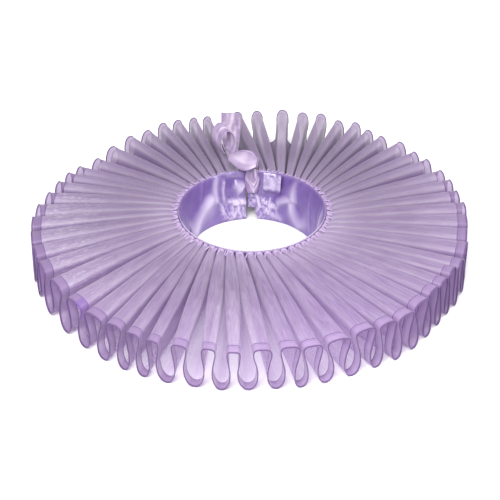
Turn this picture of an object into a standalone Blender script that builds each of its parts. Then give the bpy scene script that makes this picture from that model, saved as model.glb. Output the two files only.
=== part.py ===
"""A sheer ruff collar: a long organza strip in figure-of-eight pleats on a satin neck band.

The collar lies on its lower folds with its neck hole upright.  Metres, +Z up.  The origin is on the
surface that it rests on, at the middle of its outline.  The opening with its bow faces +Y, and
bearings are measured anticlockwise from +X, seen from above.
"""

import math
import random

import bmesh
import bpy
from mathutils import Vector

# Cloth
CLOTH = 0.0010              # organza wall
RIBBON = 0.0012             # satin wall
SEAM = 0.0003               # free gap where two pieces meet

# The pleated strip
NECK_FILL = 0.58            # share of the room between two pleats that one takes at the neck
NECK_TOP = 0.0488           # crest of the upper folds at the neck
NECK_FOOT = 0.0014          # crest of the lower folds at the neck
NECK_GAP = 0.0006           # from the band's outer face to the strip's inner edge
MIDDLE = 0.42               # place of the middle ring, from neck 0 to rim 1
CROWN = 0.0022              # rise of the upper folds above a straight line at the middle ring
EDGE_WIDTH = 0.0085         # satin ribbon along the outer edge
CREST_SHARE = 0.42          # flat of a fold against its half width
SHOULDER_DROP = 0.60        # depth of a fold's round end against its half width
LOWER_REACH = 0.0012        # how far the lower folds stand out past the upper ones
GATHER_EVEN = 4             # folds to each side over which the gathers even out at the neck

# Where each pleat's upper fold comes to the rim, clockwise from the opening: bearing and reach.
# A lower fold lies midway between two upper ones.
UPPER_FOLDS = (
    # bearing  reach
    (94.5,    0.1885),
    (88.5,    0.1915),
    (81.0,    0.1975),
    (74.8,    0.1955),
    (69.2,    0.1955),
    (63.0,    0.1905),
    (58.0,    0.1950),
    (53.0,    0.1910),
    (47.6,    0.1885),
    (41.4,    0.1930),
    (34.9,    0.1910),
    (29.2,    0.1910),
    (22.6,    0.1930),
    (16.6,    0.1920),
    (10.8,    0.1915),
    (4.4,     0.1925),
    (-2.2,    0.1910),
    (-8.8,    0.1905),
    (-15.4,   0.1920),
    (-22.0,   0.1925),
    (-26.8,   0.1900),
    (-31.6,   0.1890),
    (-37.0,   0.1890),
    (-43.2,   0.1910),
    (-49.6,   0.1935),
    (-55.1,   0.1915),
    (-61.4,   0.1900),
    (-68.8,   0.1910),
    (-75.5,   0.1920),
    (-80.9,   0.1905),
    (-87.5,   0.1905),
    (-94.3,   0.1920),
    (-100.3,  0.1925),
    (-107.4,  0.1930),
    (-114.0,  0.1945),
    (-119.3,  0.1950),
    (-124.9,  0.1950),
    (-131.7,  0.1945),
    (-139.0,  0.1940),
    (-147.6,  0.1945),
    (-157.0,  0.1950),
    (-163.8,  0.1955),
    (-170.4,  0.1960),
    (-177.0,  0.1955),
    (-183.5,  0.1940),
    (-190.1,  0.1900),
    (-196.7,  0.1880),
    (-202.3,  0.1865),
    (-207.6,  0.1850),
    (-214.2,  0.1800),
    (-222.2,  0.1840),
    (-230.2,  0.1880),
    (-236.0,  0.1860),
    (-242.0,  0.1900),
    (-246.9,  0.1900),
    (-251.7,  0.1870),
    (-256.0,  0.1870),
)

# Where the collar changes as one goes round it clockwise from the opening: bearing at the rim,
# twist from neck to rim in degrees, height of the upper folds at the rim, and how full the upper
# and lower folds are
ROUND = (
    # rim      twist  height   upper  lower
    (97.5,     13.5,  0.0415,  0.64,  0.78),
    (85.0,     15.5,  0.0415,  0.62,  0.80),
    (70.0,     16.5,  0.0420,  0.72,  0.80),
    (48.0,     16.5,  0.0425,  0.84,  0.78),
    (15.0,     14.0,  0.0430,  0.88,  0.76),
    (-40.0,    11.0,  0.0425,  0.88,  0.76),
    (-80.0,    10.0,  0.0405,  0.84,  0.78),
    (-93.0,    12.5,  0.0395,  0.52,  0.84),
    (-112.0,   13.5,  0.0400,  0.56,  0.84),
    (-128.0,   9.0,   0.0410,  0.84,  0.78),
    (-150.0,   5.0,   0.0415,  0.84,  0.78),
    (-180.0,   0.0,   0.0420,  0.86,  0.76),
    (-220.0,   -7.5,  0.0400,  0.84,  0.76),
    (-244.0,   -8.0,  0.0405,  0.78,  0.76),
    (-258.4,   -3.0,  0.0405,  0.72,  0.76),
)

# The neck hole stands a little forward of the rim's middle
NECK_FORWARD = 0.0026

# Moves the middle of the whole outline onto the origin
CENTRING = (0.0015, -0.0014, 0.0)

# The neck band, a cone that narrows downwards
BAND_TOP = 0.0492
BAND_FOOT = 0.0006
BAND_TOP_RADIUS = 0.0660    # outer face
BAND_FOOT_RADIUS = 0.0590
BAND_START = 93.5           # bearing of its right end, under the knot
BAND_END = -264.5           # bearing of its left end
BAND_FINE_STEP = 6.2        # degrees between its sections near the opening, where it lies slack
BAND_PLAIN_STEP = 15.0      # and where it is taut
BAND_SLACK_REACH = 66.0     # degrees of slack satin on each side of the opening
BAND_LEVELS = 3             # spans from foot to top
PINCH_RISE = 0.0120         # how far the tie gathers up the foot of the right end
PINCH_BEARING = 84.5        # where the gathered stretch begins
PINCH_SPREAD = 4.0          # degrees over which the foot rises

# Largest folds of the slack satin near the opening: bearing at mid height, reach inwards, half
# width in degrees, and how far the fold's top runs ahead of its foot in degrees
BAND_FOLDS = (
    # bearing  inwards  width  slant
    (70.0,     0.0022,  6.0,   10.0),
    (49.0,     0.0034,  7.0,   -18.0),
    (112.0,    0.0024,  7.0,   10.0),
    (142.0,    0.0040,  9.0,   24.0),
)

# The band's right end, folded back over its inner face
FLAP_BEARINGS = (80.0, 64.0)
FLAP_HEIGHTS = (0.0320, 0.0496)
FLAP_STANDOFF = 0.0040      # its middle from the band's middle, clear of the slack folds

# The tie ribbon, one length of satin tied over the opening.  Its stretches:
# the knot's turn, from inside the band over its top edge, in the plane x = 0
KNOT_WIDTH = 0.0100
KNOT_TURN = (
    # y       z
    (0.0562,  0.0290),
    (0.0600,  0.0435),
    (0.0606,  0.0492),
    (0.0624,  0.0514),
    (0.0650,  0.0512),
    (0.0664,  0.0472),
)

# the leaf-shaped bow loop, that leans back and faces forwards: distance from the knot, how far the
# cloth stands off the loop's middle plane, and its width there
LOOP_ROOT = (0.0035, 0.0580, 0.0622)
LOOP_TIP = (-0.0240, 0.0726, 0.0602)
LOOP_LEAN = 55.0            # degrees from level
BOW_LOOP = (
    # along    off      width
    (0.0000,   0.0014,  0.0080),
    (0.0060,   0.0034,  0.0165),
    (0.0120,   0.0042,  0.0188),
    (0.0200,   0.0034,  0.0150),
    (0.0270,   0.0018,  0.0085),
    (0.0304,   0.0000,  0.0060),
    (0.0270,   -0.0018, 0.0085),
    (0.0200,   -0.0026, 0.0150),
    (0.0120,   -0.0030, 0.0188),
    (0.0060,   -0.0026, 0.0165),
    (0.0000,   -0.0014, 0.0080),
)

# the small ring of ribbon that stands behind the bow loop's tip: a flattened turn, open at its foot
RING_FOOT = (-0.0219, 0.0795, 0.0555)
RING_HALF_WIDTH = 0.0068
RING_HALF_HEIGHT = 0.0112
RING_ACROSS = (-0.0088, 0.0160, 0.0006)
RING_OPENING = 28.0         # degrees left open on each side of its foot
RING_STEPS = 12

# the square-cut tail, lying back over the upper folds
TAIL = (
    # x        y       z       width   roll
    (-0.0190,  0.0900, 0.0530, 0.0110, 8.0),
    (-0.0200,  0.1080, 0.0517, 0.0150, 5.0),
    (-0.0207,  0.1300, 0.0503, 0.0180, -4.0),
    (-0.0210,  0.1530, 0.0488, 0.0185, 5.0),
    (-0.0213,  0.1745, 0.0480, 0.0185, -3.0),
)

LILAC_ORGANZA = (0.44, 0.31, 0.59, 1.0)
LILAC_EDGE = (0.36, 0.22, 0.50, 1.0)
LILAC_SATIN = (0.40, 0.25, 0.62, 1.0)
LILAC_TIE = (0.48, 0.27, 0.60, 1.0)


def clear_scene():
    for thing in list(bpy.data.objects):
        bpy.data.objects.remove(thing, do_unlink=True)


def satin_or_organza(name, colour, roughness):
    material = bpy.data.materials.new(name)
    material.use_nodes = True
    shader = material.node_tree.nodes["Principled BSDF"]
    shader.inputs["Base Color"].default_value = colour
    shader.inputs["Roughness"].default_value = roughness
    shader.inputs["Metallic"].default_value = 0.0
    return material


def smooth(share):
    return share * share * (3.0 - 2.0 * share)


def around(bearing, column):
    """A column of ROUND at a rim bearing, eased from row to row."""
    rows = ROUND
    if bearing >= rows[0][0]:
        return rows[0][column]
    for ahead, behind in zip(rows, rows[1:]):
        if bearing >= behind[0]:
            share = (ahead[0] - bearing) / (ahead[0] - behind[0])
            return ahead[column] + (behind[column] - ahead[column]) * smooth(share)
    return rows[-1][column]


def place(radius, bearing, height):
    angle = math.radians(bearing)
    return Vector((radius * math.cos(angle), radius * math.sin(angle), height))


def place_neck(radius, bearing, height):
    return place(radius, bearing, height) - Vector((0.0, NECK_FORWARD, 0.0))


def cone_radius(height):
    """Outer face of the neck band where it is taut."""
    share = (height - BAND_FOOT) / (BAND_TOP - BAND_FOOT)
    return BAND_FOOT_RADIUS + (BAND_TOP_RADIUS - BAND_FOOT_RADIUS) * share


def band_radius(bearing, height):
    """Middle of the neck band's wall, with the largest folds of the slack satin."""
    share = (height - BAND_FOOT) / (BAND_TOP - BAND_FOOT)
    slack = max(4.0 * share * (1.0 - share), 0.0) ** 0.7
    radius = cone_radius(height) - RIBBON / 2
    for at, inwards, width, slant in BAND_FOLDS:
        off = (bearing - at - slant * (share - 0.5) + 180.0) % 360.0 - 180.0
        radius -= slack * inwards * math.exp(-((off / width) ** 2))
    return radius


class Fold:
    """One upper or lower fold of the strip, with its place and width at the neck and at the rim."""

    def __init__(self, upper, neck_bearing, rim_bearing, reach):
        self.upper = upper
        self.neck_bearing = neck_bearing
        self.rim_bearing = rim_bearing
        self.reach = reach if upper else reach + LOWER_REACH
        self.neck_half = 0.0
        self.rim_half = 0.0
        self.neck_crest = NECK_TOP if upper else NECK_FOOT
        self.rim_crest = around(rim_bearing, 2) - CLOTH / 2 if upper else CLOTH / 2


def rim_places():
    """Bearing and reach of every fold at the rim, lower and upper by turns, lower at both ends."""
    first, second = UPPER_FOLDS[:2]
    before, last = UPPER_FOLDS[-2:]
    places = [((3.0 * first[0] - second[0]) / 2, first[1])]
    for here, ahead in zip(UPPER_FOLDS, UPPER_FOLDS[1:]):
        places.append(here)
        places.append(((here[0] + ahead[0]) / 2, (here[1] + ahead[1]) / 2))
    places.append(last)
    places.append(((3.0 * last[0] - before[0]) / 2, last[1]))
    return places


def lay_folds():
    """All the folds from the strip's first end to its last, lower folds at both ends."""
    chance = random.Random(7)
    places = rim_places()
    folds = []
    for count, (rim, reach) in enumerate(places):
        near = min(GATHER_EVEN, count, len(places) - 1 - count)
        beside = places[count - near:count + near + 1]
        even = sum(bearing for bearing, _ in beside) / len(beside)
        folds.append(Fold(count % 2 == 1, even - around(even, 1), rim, reach))
    for fold, before, after in zip(folds, [None] + folds, folds[1:] + [None]):
        near = [other for other in (before, after) if other is not None]
        neck_room = min(abs(fold.neck_bearing - other.neck_bearing) for other in near)
        rim_room = min(abs(fold.rim_bearing - other.rim_bearing) for other in near)
        full = around(fold.rim_bearing, 3 if fold.upper else 4)
        fold.neck_half = NECK_FILL * math.radians(neck_room) * BAND_TOP_RADIUS
        fold.rim_half = full * math.radians(rim_room) * fold.reach
        if fold.upper:
            fold.rim_crest += chance.uniform(-0.0012, 0.0012)
        elif chance.random() < 0.4:
            fold.rim_crest += chance.uniform(0.0004, 0.0016)
    return folds


def fold_corners(fold, first, last):
    """A fold's corners as (sideways share of the half width, share of the round end's depth)."""
    corners = ((-1.0, 1.0), (-CREST_SHARE, 0.0), (CREST_SHARE, 0.0), (1.0, 1.0))
    if first:
        return corners[2:]
    if last:
        return corners[:2]
    return corners


def pleat_rows(folds):
    """For each corner along the strip, its points at the neck, at the middle ring and at the rim."""
    rows = []
    for count, fold in enumerate(folds):
        down = -1.0 if fold.upper else 1.0
        for aside, deep in fold_corners(fold, count == 0, count == len(folds) - 1):
            neck_height = fold.neck_crest + down * deep * SHOULDER_DROP * fold.neck_half
            rim_height = fold.rim_crest + down * deep * SHOULDER_DROP * fold.rim_half
            neck_turn = math.degrees(aside * fold.neck_half / BAND_TOP_RADIUS)
            rim_turn = math.degrees(aside * fold.rim_half / fold.reach)
            neck_bearing = fold.neck_bearing - neck_turn
            neck = place_neck(cone_radius(neck_height) + NECK_GAP, neck_bearing, neck_height)
            rim = place(fold.reach, fold.rim_bearing - rim_turn, rim_height)
            middle = neck.lerp(rim, MIDDLE)
            if fold.upper:
                middle.z += CROWN
            else:
                middle.z = rim.z
            rows.append((neck, middle, rim))
    return rows


def wall_offset(before, here, after, along, thickness):
    """Sideways step from a folded sheet's middle line to its face, true to thickness at corners."""
    normals = []
    for start, end in ((before, here), (here, after)):
        if (end - start).length > 1e-9:
            normals.append((end - start).cross(along).normalized())
    if len(normals) == 1:
        return normals[0] * thickness / 2
    total = normals[0] + normals[1]
    return total * (thickness / 2) / (1.0 + normals[0].dot(normals[1]))


def sheet_solid(name, rings, thickness, material):
    """A closed wall through rings of points, each ring running along the strip."""
    mesh = bmesh.new()
    count = len(rings[0])
    faces = []
    for side in (1.0, -1.0):
        skin = []
        for level, ring in enumerate(rings):
            low = rings[max(level - 1, 0)]
            high = rings[min(level + 1, len(rings) - 1)]
            row = []
            for step in range(count):
                before = ring[max(step - 1, 0)]
                after = ring[min(step + 1, count - 1)]
                along = high[step] - low[step]
                shift = wall_offset(before, ring[step], after, along, thickness)
                row.append(mesh.verts.new(ring[step] + side * shift))
            skin.append(row)
        faces.append(skin)
    upper, under = faces
    for level in range(len(rings) - 1):
        for step in range(count - 1):
            a, b = upper[level][step], upper[level][step + 1]
            c, d = upper[level + 1][step + 1], upper[level + 1][step]
            e, f = under[level][step], under[level][step + 1]
            g, h = under[level + 1][step + 1], under[level + 1][step]
            if step % 2:
                triangles = ((a, b, c), (a, c, d), (e, g, f), (e, h, g))
            else:
                triangles = ((a, b, d), (b, c, d), (e, h, f), (f, h, g))
            for triangle in triangles:
                mesh.faces.new(triangle)
    for step in range(count - 1):
        for level, turned in ((0, False), (len(rings) - 1, True)):
            quad = [upper[level][step], under[level][step], under[level][step + 1], upper[level][step + 1]]
            mesh.faces.new(quad[::-1] if turned else quad)
    for level in range(len(rings) - 1):
        for step, turned in ((0, True), (count - 1, False)):
            quad = [upper[level][step], under[level][step], under[level + 1][step], upper[level + 1][step]]
            mesh.faces.new(quad[::-1] if turned else quad)
    bmesh.ops.triangulate(mesh, faces=mesh.faces[:])
    bmesh.ops.recalc_face_normals(mesh, faces=mesh.faces[:])
    if mesh.calc_volume(signed=True) < 0.0:
        bmesh.ops.reverse_faces(mesh, faces=mesh.faces[:])
    return add_object(name, mesh, material)


def add_object(name, mesh, material):
    bmesh.ops.translate(mesh, vec=Vector(CENTRING), verts=mesh.verts[:])
    data = bpy.data.meshes.new(name)
    mesh.to_mesh(data)
    mesh.free()
    data.materials.append(material)
    thing = bpy.data.objects.new(name, data)
    bpy.context.scene.collection.objects.link(thing)
    return thing


def build_ruffle(rows, material):
    inner = [row[0] for row in rows]
    middle = [row[1] for row in rows]
    outer = [edge_point(row, EDGE_WIDTH + SEAM) for row in rows]
    return sheet_solid("ruffle", [inner, middle, outer], CLOTH, material)


def edge_point(row, inset):
    """The point of the strip that lies a given distance in from its outer edge."""
    _, middle, rim = row
    return rim + (middle - rim).normalized() * inset


def build_satin_edge(rows, material):
    inner = [edge_point(row, EDGE_WIDTH) for row in rows]
    outer = [row[2] for row in rows]
    return sheet_solid("satin_edge", [inner, outer], CLOTH, material)


def band_foot(bearing):
    """Height of the band's lower edge, gathered up at its right end."""
    share = min(max((bearing - PINCH_BEARING) / PINCH_SPREAD, 0.0), 1.0)
    return BAND_FOOT + PINCH_RISE * smooth(share)


def band_bearings():
    """Bearings of the band's sections, from its right end round to its left one."""
    bearings = [BAND_START]
    while bearings[-1] > BAND_END:
        past_start = BAND_START - bearings[-1]
        before_end = bearings[-1] - BAND_END
        slack = min(past_start, before_end) < BAND_SLACK_REACH
        bearings.append(bearings[-1] - (BAND_FINE_STEP if slack else BAND_PLAIN_STEP))
    bearings[-1] = BAND_END
    return bearings


def build_neck_band(material):
    rings = []
    for level in range(BAND_LEVELS + 1):
        ring = []
        for bearing in band_bearings():
            foot = band_foot(bearing)
            height = foot + (BAND_TOP - foot) * level / BAND_LEVELS
            ring.append(place_neck(band_radius(bearing, height), bearing, height))
        rings.append(ring)
    return sheet_solid("neck_band", rings, RIBBON, material)


def build_band_flap(material):
    rings = []
    for height in FLAP_HEIGHTS:
        ring = []
        for step in range(4):
            bearing = FLAP_BEARINGS[0] + (FLAP_BEARINGS[1] - FLAP_BEARINGS[0]) * step / 3
            radius = cone_radius(height) - RIBBON / 2 - FLAP_STANDOFF
            ring.append(place_neck(radius, bearing, height))
        rings.append(ring)
    return sheet_solid("band_flap", rings, RIBBON, material)


def ribbon_solid(name, spine, material):
    """A stretch of ribbon along (middle, vector to its right edge) pairs."""
    left = [middle - side for middle, side in spine]
    right = [middle + side for middle, side in spine]
    return sheet_solid(name, [left, right], RIBBON, material)


def build_tie_knot(material):
    side = Vector((KNOT_WIDTH / 2, 0.0, 0.0))
    spine = [(Vector((0.0, y, z)), side) for y, z in KNOT_TURN]
    return ribbon_solid("tie_knot", spine, material)


def build_bow_loop(material):
    root = Vector(LOOP_ROOT)
    along = (Vector(LOOP_TIP) - root).normalized()
    lean = math.radians(LOOP_LEAN)
    upward = Vector((0.0, math.cos(lean), math.sin(lean)))
    upward = (upward - along * upward.dot(along)).normalized()
    forward = upward.cross(along)
    if forward.y > 0.0:
        forward = -forward
    spine = [(root + along * far + forward * off, upward * width / 2) for far, off, width in BOW_LOOP]
    return ribbon_solid("bow_loop", spine, material)


def build_bow_ring(material):
    across = Vector(RING_ACROSS)
    upward = Vector((0.0, math.cos(math.radians(LOOP_LEAN)), math.sin(math.radians(LOOP_LEAN))))
    centre = Vector(RING_FOOT) + upward * RING_HALF_HEIGHT
    spine = []
    for step in range(RING_STEPS + 1):
        turn = RING_OPENING + (360.0 - 2 * RING_OPENING) * step / RING_STEPS
        angle = math.radians(turn)
        sideways = Vector((RING_HALF_WIDTH * math.sin(angle), 0.0, 0.0))
        near = centre + sideways - upward * RING_HALF_HEIGHT * math.cos(angle)
        spine.append((near + across / 2, across / 2))
    return ribbon_solid("bow_ring", spine, material)


def build_tie_tail(material):
    spine = []
    for x, y, z, width, roll in TAIL:
        lift = math.radians(roll)
        side = Vector((math.cos(lift), 0.0, math.sin(lift))) * width / 2
        spine.append((Vector((x, y, z)), side))
    return ribbon_solid("tie_tail", spine, material)


def main():
    clear_scene()
    organza = satin_or_organza("lilac_organza", LILAC_ORGANZA, 0.55)
    edge = satin_or_organza("lilac_edge_ribbon", LILAC_EDGE, 0.40)
    satin = satin_or_organza("lilac_satin", LILAC_SATIN, 0.32)
    tie = satin_or_organza("lilac_tie_ribbon", LILAC_TIE, 0.35)
    rows = pleat_rows(lay_folds())
    build_ruffle(rows, organza)
    build_satin_edge(rows, edge)
    build_neck_band(satin)
    build_band_flap(satin)
    build_tie_knot(tie)
    build_bow_loop(tie)
    build_bow_ring(tie)
    build_tie_tail(tie)


main()
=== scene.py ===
"""Looks for the sheer ruff collar: pleated organza with a satin edge, on a satin neck band that is
tied at the back with a ribbon.

Metres, +Z up, in the frame's own coordinates.  Bearings are degrees anticlockwise from +X, seen
from above, and the opening with its bow faces +Y.
"""

import copy
import math
import random

import bpy
import numpy as np
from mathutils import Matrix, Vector, noise


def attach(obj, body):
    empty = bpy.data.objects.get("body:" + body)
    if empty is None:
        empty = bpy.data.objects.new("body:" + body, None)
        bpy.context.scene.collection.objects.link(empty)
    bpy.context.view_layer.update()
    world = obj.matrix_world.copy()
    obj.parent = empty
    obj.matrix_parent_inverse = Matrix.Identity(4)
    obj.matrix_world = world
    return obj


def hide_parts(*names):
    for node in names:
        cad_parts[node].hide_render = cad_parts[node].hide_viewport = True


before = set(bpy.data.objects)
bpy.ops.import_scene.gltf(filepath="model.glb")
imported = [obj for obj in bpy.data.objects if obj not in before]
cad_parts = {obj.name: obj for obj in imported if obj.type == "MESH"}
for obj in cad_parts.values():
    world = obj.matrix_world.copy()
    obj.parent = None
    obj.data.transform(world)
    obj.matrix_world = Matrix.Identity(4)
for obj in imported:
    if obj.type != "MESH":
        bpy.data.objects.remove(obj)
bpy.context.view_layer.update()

MM = 0.001

# --- Sizes of the pleated strip, as in the frame ---

NECK_FILL = 0.58            # share of the room between two pleats that one takes at the neck
NECK_TOP = 0.0488           # crest of the upper folds at the neck
NECK_FOOT = 0.0014          # crest of the lower folds at the neck
NECK_GAP = 0.0006           # from the band's outer face to the strip's inner edge
MIDDLE = 0.42               # where the upper folds rise highest, from neck 0 to rim 1
CROWN = 0.0022              # how high they rise there
EDGE_WIDTH = 0.0085         # satin edge of the strip
LOWER_REACH = 0.0012        # how far the lower folds stand out past the upper ones
GATHER_EVEN = 4             # folds to each side over which the gathers even out at the neck
CLOTH_REST = 0.0005         # height of the lower folds' cloth over the floor at the rim

# Where each pleat's upper fold comes to the rim, clockwise from the opening: bearing and reach
UPPER_FOLDS = (
    (94.5, 0.1885), (88.5, 0.1915), (81.0, 0.1975), (74.8, 0.1955), (69.2, 0.1955),
    (63.0, 0.1905), (58.0, 0.1950), (53.0, 0.1910), (47.6, 0.1885), (41.4, 0.1930),
    (34.9, 0.1910), (29.2, 0.1910), (22.6, 0.1930), (16.6, 0.1920), (10.8, 0.1915),
    (4.4, 0.1925), (-2.2, 0.1910), (-8.8, 0.1905), (-15.4, 0.1920), (-22.0, 0.1925),
    (-26.8, 0.1900), (-31.6, 0.1890), (-37.0, 0.1890), (-43.2, 0.1910), (-49.6, 0.1935),
    (-55.1, 0.1915), (-61.4, 0.1900), (-68.8, 0.1910), (-75.5, 0.1920), (-80.9, 0.1905),
    (-87.5, 0.1905), (-94.3, 0.1920), (-100.3, 0.1925), (-107.4, 0.1930), (-114.0, 0.1945),
    (-119.3, 0.1950), (-124.9, 0.1950), (-131.7, 0.1945), (-139.0, 0.1940), (-147.6, 0.1945),
    (-157.0, 0.1950), (-163.8, 0.1955), (-170.4, 0.1960), (-177.0, 0.1955), (-183.5, 0.1940),
    (-190.1, 0.1900), (-196.7, 0.1880), (-202.3, 0.1865), (-207.6, 0.1850), (-214.2, 0.1800),
    (-222.2, 0.1840), (-230.2, 0.1880), (-236.0, 0.1860), (-242.0, 0.1900), (-246.9, 0.1900),
    (-251.7, 0.1870), (-256.0, 0.1870),
)

# Where the collar changes as one goes round it: bearing at the rim, twist from neck to rim in
# degrees, height of the upper folds at the rim, and how full the upper and lower folds are
ROUND = (
    # rim      twist  height   upper  lower
    (97.5,     13.5,  0.0415,  0.64,  0.78),
    (85.0,     15.5,  0.0415,  0.62,  0.80),
    (70.0,     16.5,  0.0420,  0.72,  0.80),
    (48.0,     16.5,  0.0425,  0.84,  0.78),
    (15.0,     14.0,  0.0430,  0.88,  0.76),
    (-40.0,    11.0,  0.0425,  0.88,  0.76),
    (-80.0,    10.0,  0.0405,  0.84,  0.78),
    (-93.0,    12.5,  0.0395,  0.52,  0.84),
    (-112.0,   13.5,  0.0400,  0.56,  0.84),
    (-128.0,   9.0,   0.0410,  0.84,  0.78),
    (-150.0,   5.0,   0.0415,  0.84,  0.78),
    (-180.0,   0.0,   0.0420,  0.86,  0.76),
    (-220.0,   -7.5,  0.0400,  0.84,  0.76),
    (-244.0,   -8.0,  0.0405,  0.78,  0.76),
    (-258.4,   -3.0,  0.0405,  0.72,  0.76),
)

NECK_FORWARD = 0.0026       # the neck hole stands a little forward of the rim's middle
CENTRING = Vector((0.0015, -0.0014, 0.0))   # the rim's middle, from the frame's origin

# --- The neck band ---

BAND_TOP = 0.0492
BAND_FOOT = 0.0006
BAND_TOP_RADIUS = 0.0660    # outer face
BAND_FOOT_RADIUS = 0.0590
BAND_START = 93.5           # bearing of its right end, under the knot
BAND_END = -264.5           # bearing of its left end
BAND_WALL = 0.0012
PINCH_RISE = 0.0120         # how far the tie gathers up the foot of the right end
PINCH_BEARING = 84.5
PINCH_SPREAD = 4.0


# --- Small helpers ---

def smooth(share):
    return share * share * (3.0 - 2.0 * share)


def ease(value, low, high):
    """0 below low, 1 above high, eased between."""
    return smooth(np.clip((value - low) / (high - low), 0.0, 1.0))


def around(bearing, column):
    """A column of ROUND at a rim bearing, eased from row to row."""
    if bearing >= ROUND[0][0]:
        return ROUND[0][column]
    for ahead, behind in zip(ROUND, ROUND[1:]):
        if bearing >= behind[0]:
            share = (ahead[0] - bearing) / (ahead[0] - behind[0])
            return ahead[column] + (behind[column] - ahead[column]) * smooth(share)
    return ROUND[-1][column]


def cone_radius(height):
    """Radius of the band's outer face."""
    share = (height - BAND_FOOT) / (BAND_TOP - BAND_FOOT)
    return BAND_FOOT_RADIUS + (BAND_TOP_RADIUS - BAND_FOOT_RADIUS) * share


def polar(radius, bearing, height, forward=0.0):
    """Points from arrays of radius, bearing in degrees and height, about the rim's middle."""
    angle = np.radians(bearing)
    x = radius * np.cos(angle) + CENTRING.x
    y = radius * np.sin(angle) - forward + CENTRING.y
    return np.stack(np.broadcast_arrays(x, y, height), axis=-1)


def grid_noise(across, along, seed):
    """Smooth noise, about -1 to 1, for arrays of coordinates already in its own units."""
    flat = [noise.noise((a, b, seed)) for a, b in zip(across.ravel(), along.ravel())]
    return np.array(flat).reshape(across.shape)


def grid_normals(points):
    along = np.gradient(points, axis=0)
    across = np.gradient(points, axis=1)
    normal = np.cross(along, across)
    length = np.linalg.norm(normal, axis=-1, keepdims=True)
    return normal / np.maximum(length, 1e-12)


def cap(ring):
    """Faces that close the end of a wall, for one ring of corners: foot, face, top and back."""
    level = (len(ring) - 2) // 2
    face = ring[1:level + 1]
    back = ring[level + 2:][::-1]
    faces = [(ring[0], face[0], back[0]), (face[-1], ring[level + 1], back[-1])]
    faces += list(zip(face, face[1:], back[1:], back))
    return [tuple(int(corner) for corner in corners) for corners in faces]


def make_mesh(name, points, faces, material, u, v, marks=None):
    """A smooth mesh.  At each point u and v are its place on the cut, in metres along and across,
    and marks are named numbers that its material reads."""
    mesh = bpy.data.meshes.new(name)
    mesh.from_pydata(points.reshape(-1, 3).tolist(), [], faces)
    corner = np.zeros(len(mesh.loops), dtype=np.int32)
    mesh.loops.foreach_get("vertex_index", corner)
    flat = np.stack([u.reshape(-1)[corner], v.reshape(-1)[corner]], axis=-1)
    mesh.uv_layers.new(name="cut").data.foreach_set("uv", flat.astype(np.float32).ravel())
    for mark, numbers in (marks or {}).items():
        layer = mesh.attributes.new(mark, "FLOAT", "POINT")
        layer.data.foreach_set("value", numbers.astype(np.float32).ravel())
    mesh.polygons.foreach_set("use_smooth", [True] * len(mesh.polygons))
    mesh.materials.append(material)
    mesh.update()
    thing = bpy.data.objects.new(name, mesh)
    bpy.context.scene.collection.objects.link(thing)
    return thing


def mesh_from_grid(name, points, material, u, v, closed_across=False, capped=False, marks=None):
    """A mesh of quads over a grid of points."""
    rows, cols = points.shape[:2]
    index = np.arange(rows * cols).reshape(rows, cols)
    caps = cap(index[0]) + [face[::-1] for face in cap(index[-1])] if capped else []
    if closed_across:
        index = np.concatenate([index, index[:, :1]], axis=1)
    quads = np.stack([index[:-1, :-1], index[1:, :-1], index[1:, 1:], index[:-1, 1:]], axis=-1)
    return make_mesh(name, points, quads.reshape(-1, 4).tolist() + caps, material, u, v, marks)


# --- Materials ---

def linear(hex_colour):
    """An sRGB hex colour as linear RGBA."""
    parts = [int(hex_colour[start:start + 2], 16) / 255.0 for start in (1, 3, 5)]
    return [p / 12.92 if p <= 0.04045 else ((p + 0.055) / 1.055) ** 2.4 for p in parts] + [1.0]


def add(tree, kind, settings=None, inputs=None):
    """Adds a shader node, with its settings and its inputs.  An input is a value, an output to link
    or a node, whose first output is linked."""
    made = tree.nodes.new("ShaderNode" + kind)
    for name, value in (settings or {}).items():
        setattr(made, name, value)
    for name, value in (inputs or {}).items():
        if isinstance(value, bpy.types.Node):
            value = next(output for output in value.outputs if output.enabled)
        if isinstance(value, bpy.types.NodeSocket):
            tree.links.new(value, made.inputs[name])
        else:
            made.inputs[name].default_value = value
    return made


def new_material(name):
    material = bpy.data.materials.new(name)
    material.use_nodes = True
    tree = material.node_tree
    tree.nodes.clear()
    return material, tree


def cut_place(tree):
    """The place on the cut in metres, along it and across it."""
    flat = add(tree, "UVMap", {"uv_map": "cut"})
    parts = add(tree, "SeparateXYZ", {}, {0: flat})
    return parts.outputs["X"], parts.outputs["Y"]


def grain(tree, along_mm, across_mm, detail=2.0, roughness=0.5, distortion=0.0):
    """Uneven marks in the cloth, about so long and so wide on the cut, mostly from 0.3 to 0.7."""
    flat = add(tree, "UVMap", {"uv_map": "cut"})
    scale = (1.0 / (along_mm * MM), 1.0 / (across_mm * MM), 1.0)
    scaled = add(tree, "VectorMath", {"operation": "MULTIPLY"}, {0: flat, 1: scale})
    return add(tree, "TexNoise", {"noise_dimensions": "2D"},
               {"Vector": scaled, "Scale": 1.0, "Detail": detail, "Roughness": roughness,
                "Distortion": distortion})


def layered(tree, ground, layers):
    """Colours laid over a ground colour, each by its own share."""
    colour = linear(ground)
    for share, over in layers:
        colour = add(tree, "Mix", {"data_type": "RGBA"},
                     {"Factor": share, "A": colour, "B": linear(over)})
    return colour


ALONG, ACROSS = 0, 1        # the two places that cut_place gives


def place_share(tree, axis, begins, ends, least=0.0, most=1.0):
    """A share eased from least to most between two places along the cut or across it."""
    return add(tree, "MapRange", {"interpolation_type": "SMOOTHSTEP"},
               {"Value": cut_place(tree)[axis], "From Min": begins, "From Max": ends,
                "To Min": least, "To Max": most})


REAR_BEGINS = 0.33          # share of the strip from the front's middle to where the rear begins


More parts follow.
